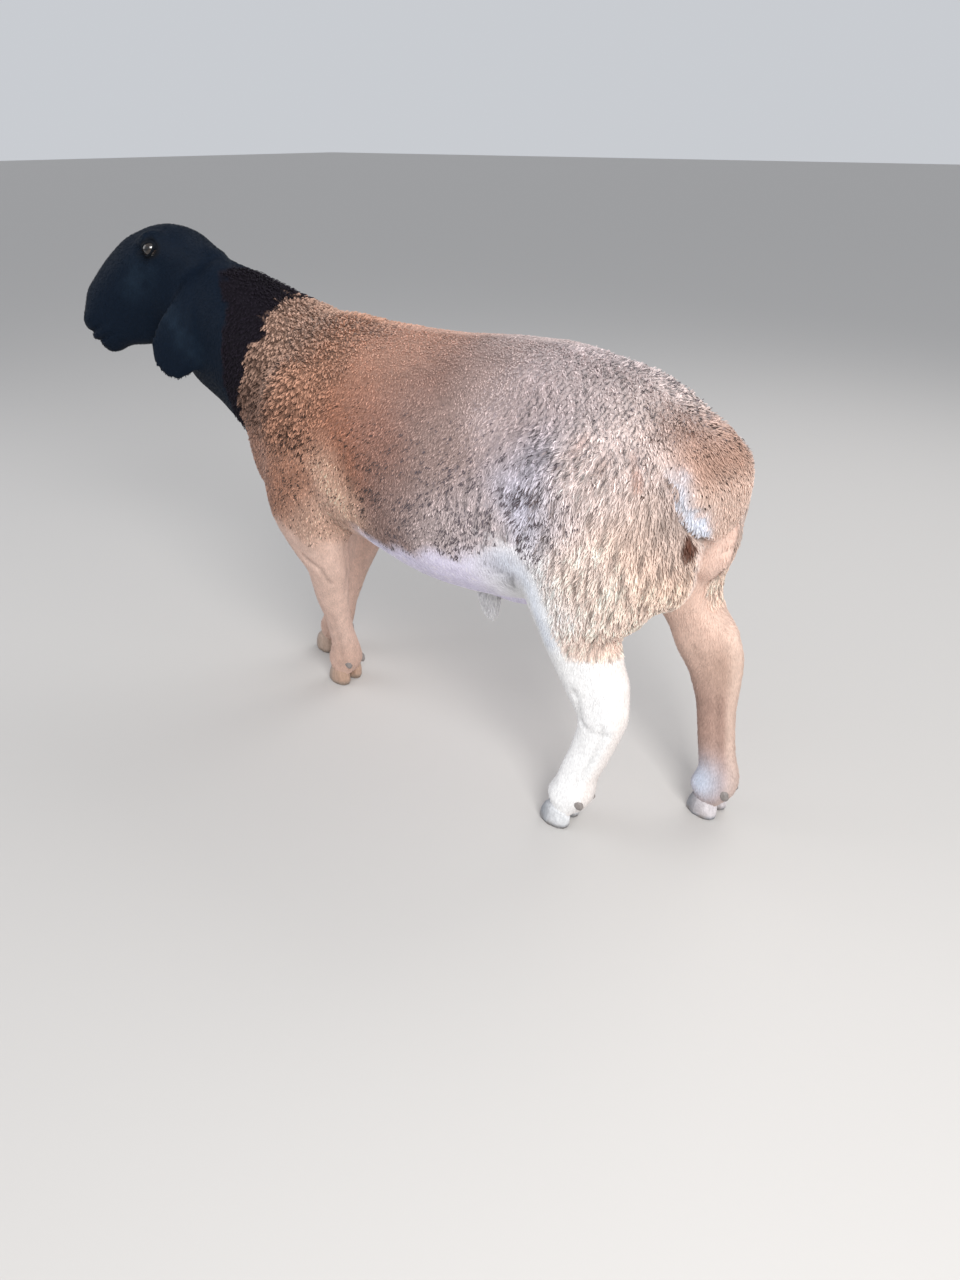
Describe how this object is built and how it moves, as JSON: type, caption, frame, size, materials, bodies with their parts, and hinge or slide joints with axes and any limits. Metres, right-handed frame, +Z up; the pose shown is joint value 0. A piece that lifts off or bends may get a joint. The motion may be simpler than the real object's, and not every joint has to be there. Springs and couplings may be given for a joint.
{
  "type": "shorn sheep",
  "caption": "Life-size shorn blackhead sheep standing still, head turned to its left, long lop ears, short clumped wool, fat tail flap.",
  "frame": {"origin": "centre of the whole animal's box, on the floor under the soles of the hooves", "axes": "+Z up, the sheep faces -Y, its left side is +X"},
  "size_m": [0.3548, 1.1582, 0.7648],
  "materials": {
    "wool": "matt, short clumped wool, dusty cream",
    "brown_wool": "matt, dark brown wool of the neck band",
    "black_hair": "short smooth hair with a low blue-black sheen",
    "white_hair": "short flat white hair",
    "horn": "satin pale horn",
    "dark_horn": "matt dark horn",
    "eye": "wet gloss"
  },
  "bodies": {
    "root": {"ear_left": "black_hair", "ear_right": "black_hair", "eye_left": "eye", "eye_right": "eye", "fore_left_claw_left": "horn", "fore_left_claw_right": "horn", "fore_left_dewclaw_left": "dark_horn", "fore_left_dewclaw_right": "dark_horn", "fore_left_forearm": "wool", "fore_left_shin": "white_hair", "fore_right_claw_left": "horn", "fore_right_claw_right": "horn", "fore_right_dewclaw_left": "dark_horn", "fore_right_dewclaw_right": "dark_horn", "fore_right_forearm": "wool", "fore_right_shin": "white_hair", "head": "black_hair", "hind_left_claw_left": "horn", "hind_left_claw_right": "horn", "hind_left_dewclaw_left": "dark_horn", "hind_left_dewclaw_right": "dark_horn", "hind_left_shank": "white_hair", "hind_left_thigh": "wool", "hind_right_claw_left": "horn", "hind_right_claw_right": "horn", "hind_right_dewclaw_left": "dark_horn", "hind_right_dewclaw_right": "dark_horn", "hind_right_shank": "white_hair", "hind_right_thigh": "wool", "lower_jaw": "black_hair", "neck": "brown_wool", "sheath_tuft": "white_hair", "tail": "wool", "trunk": "wool"}
  },
  "joints": []
}
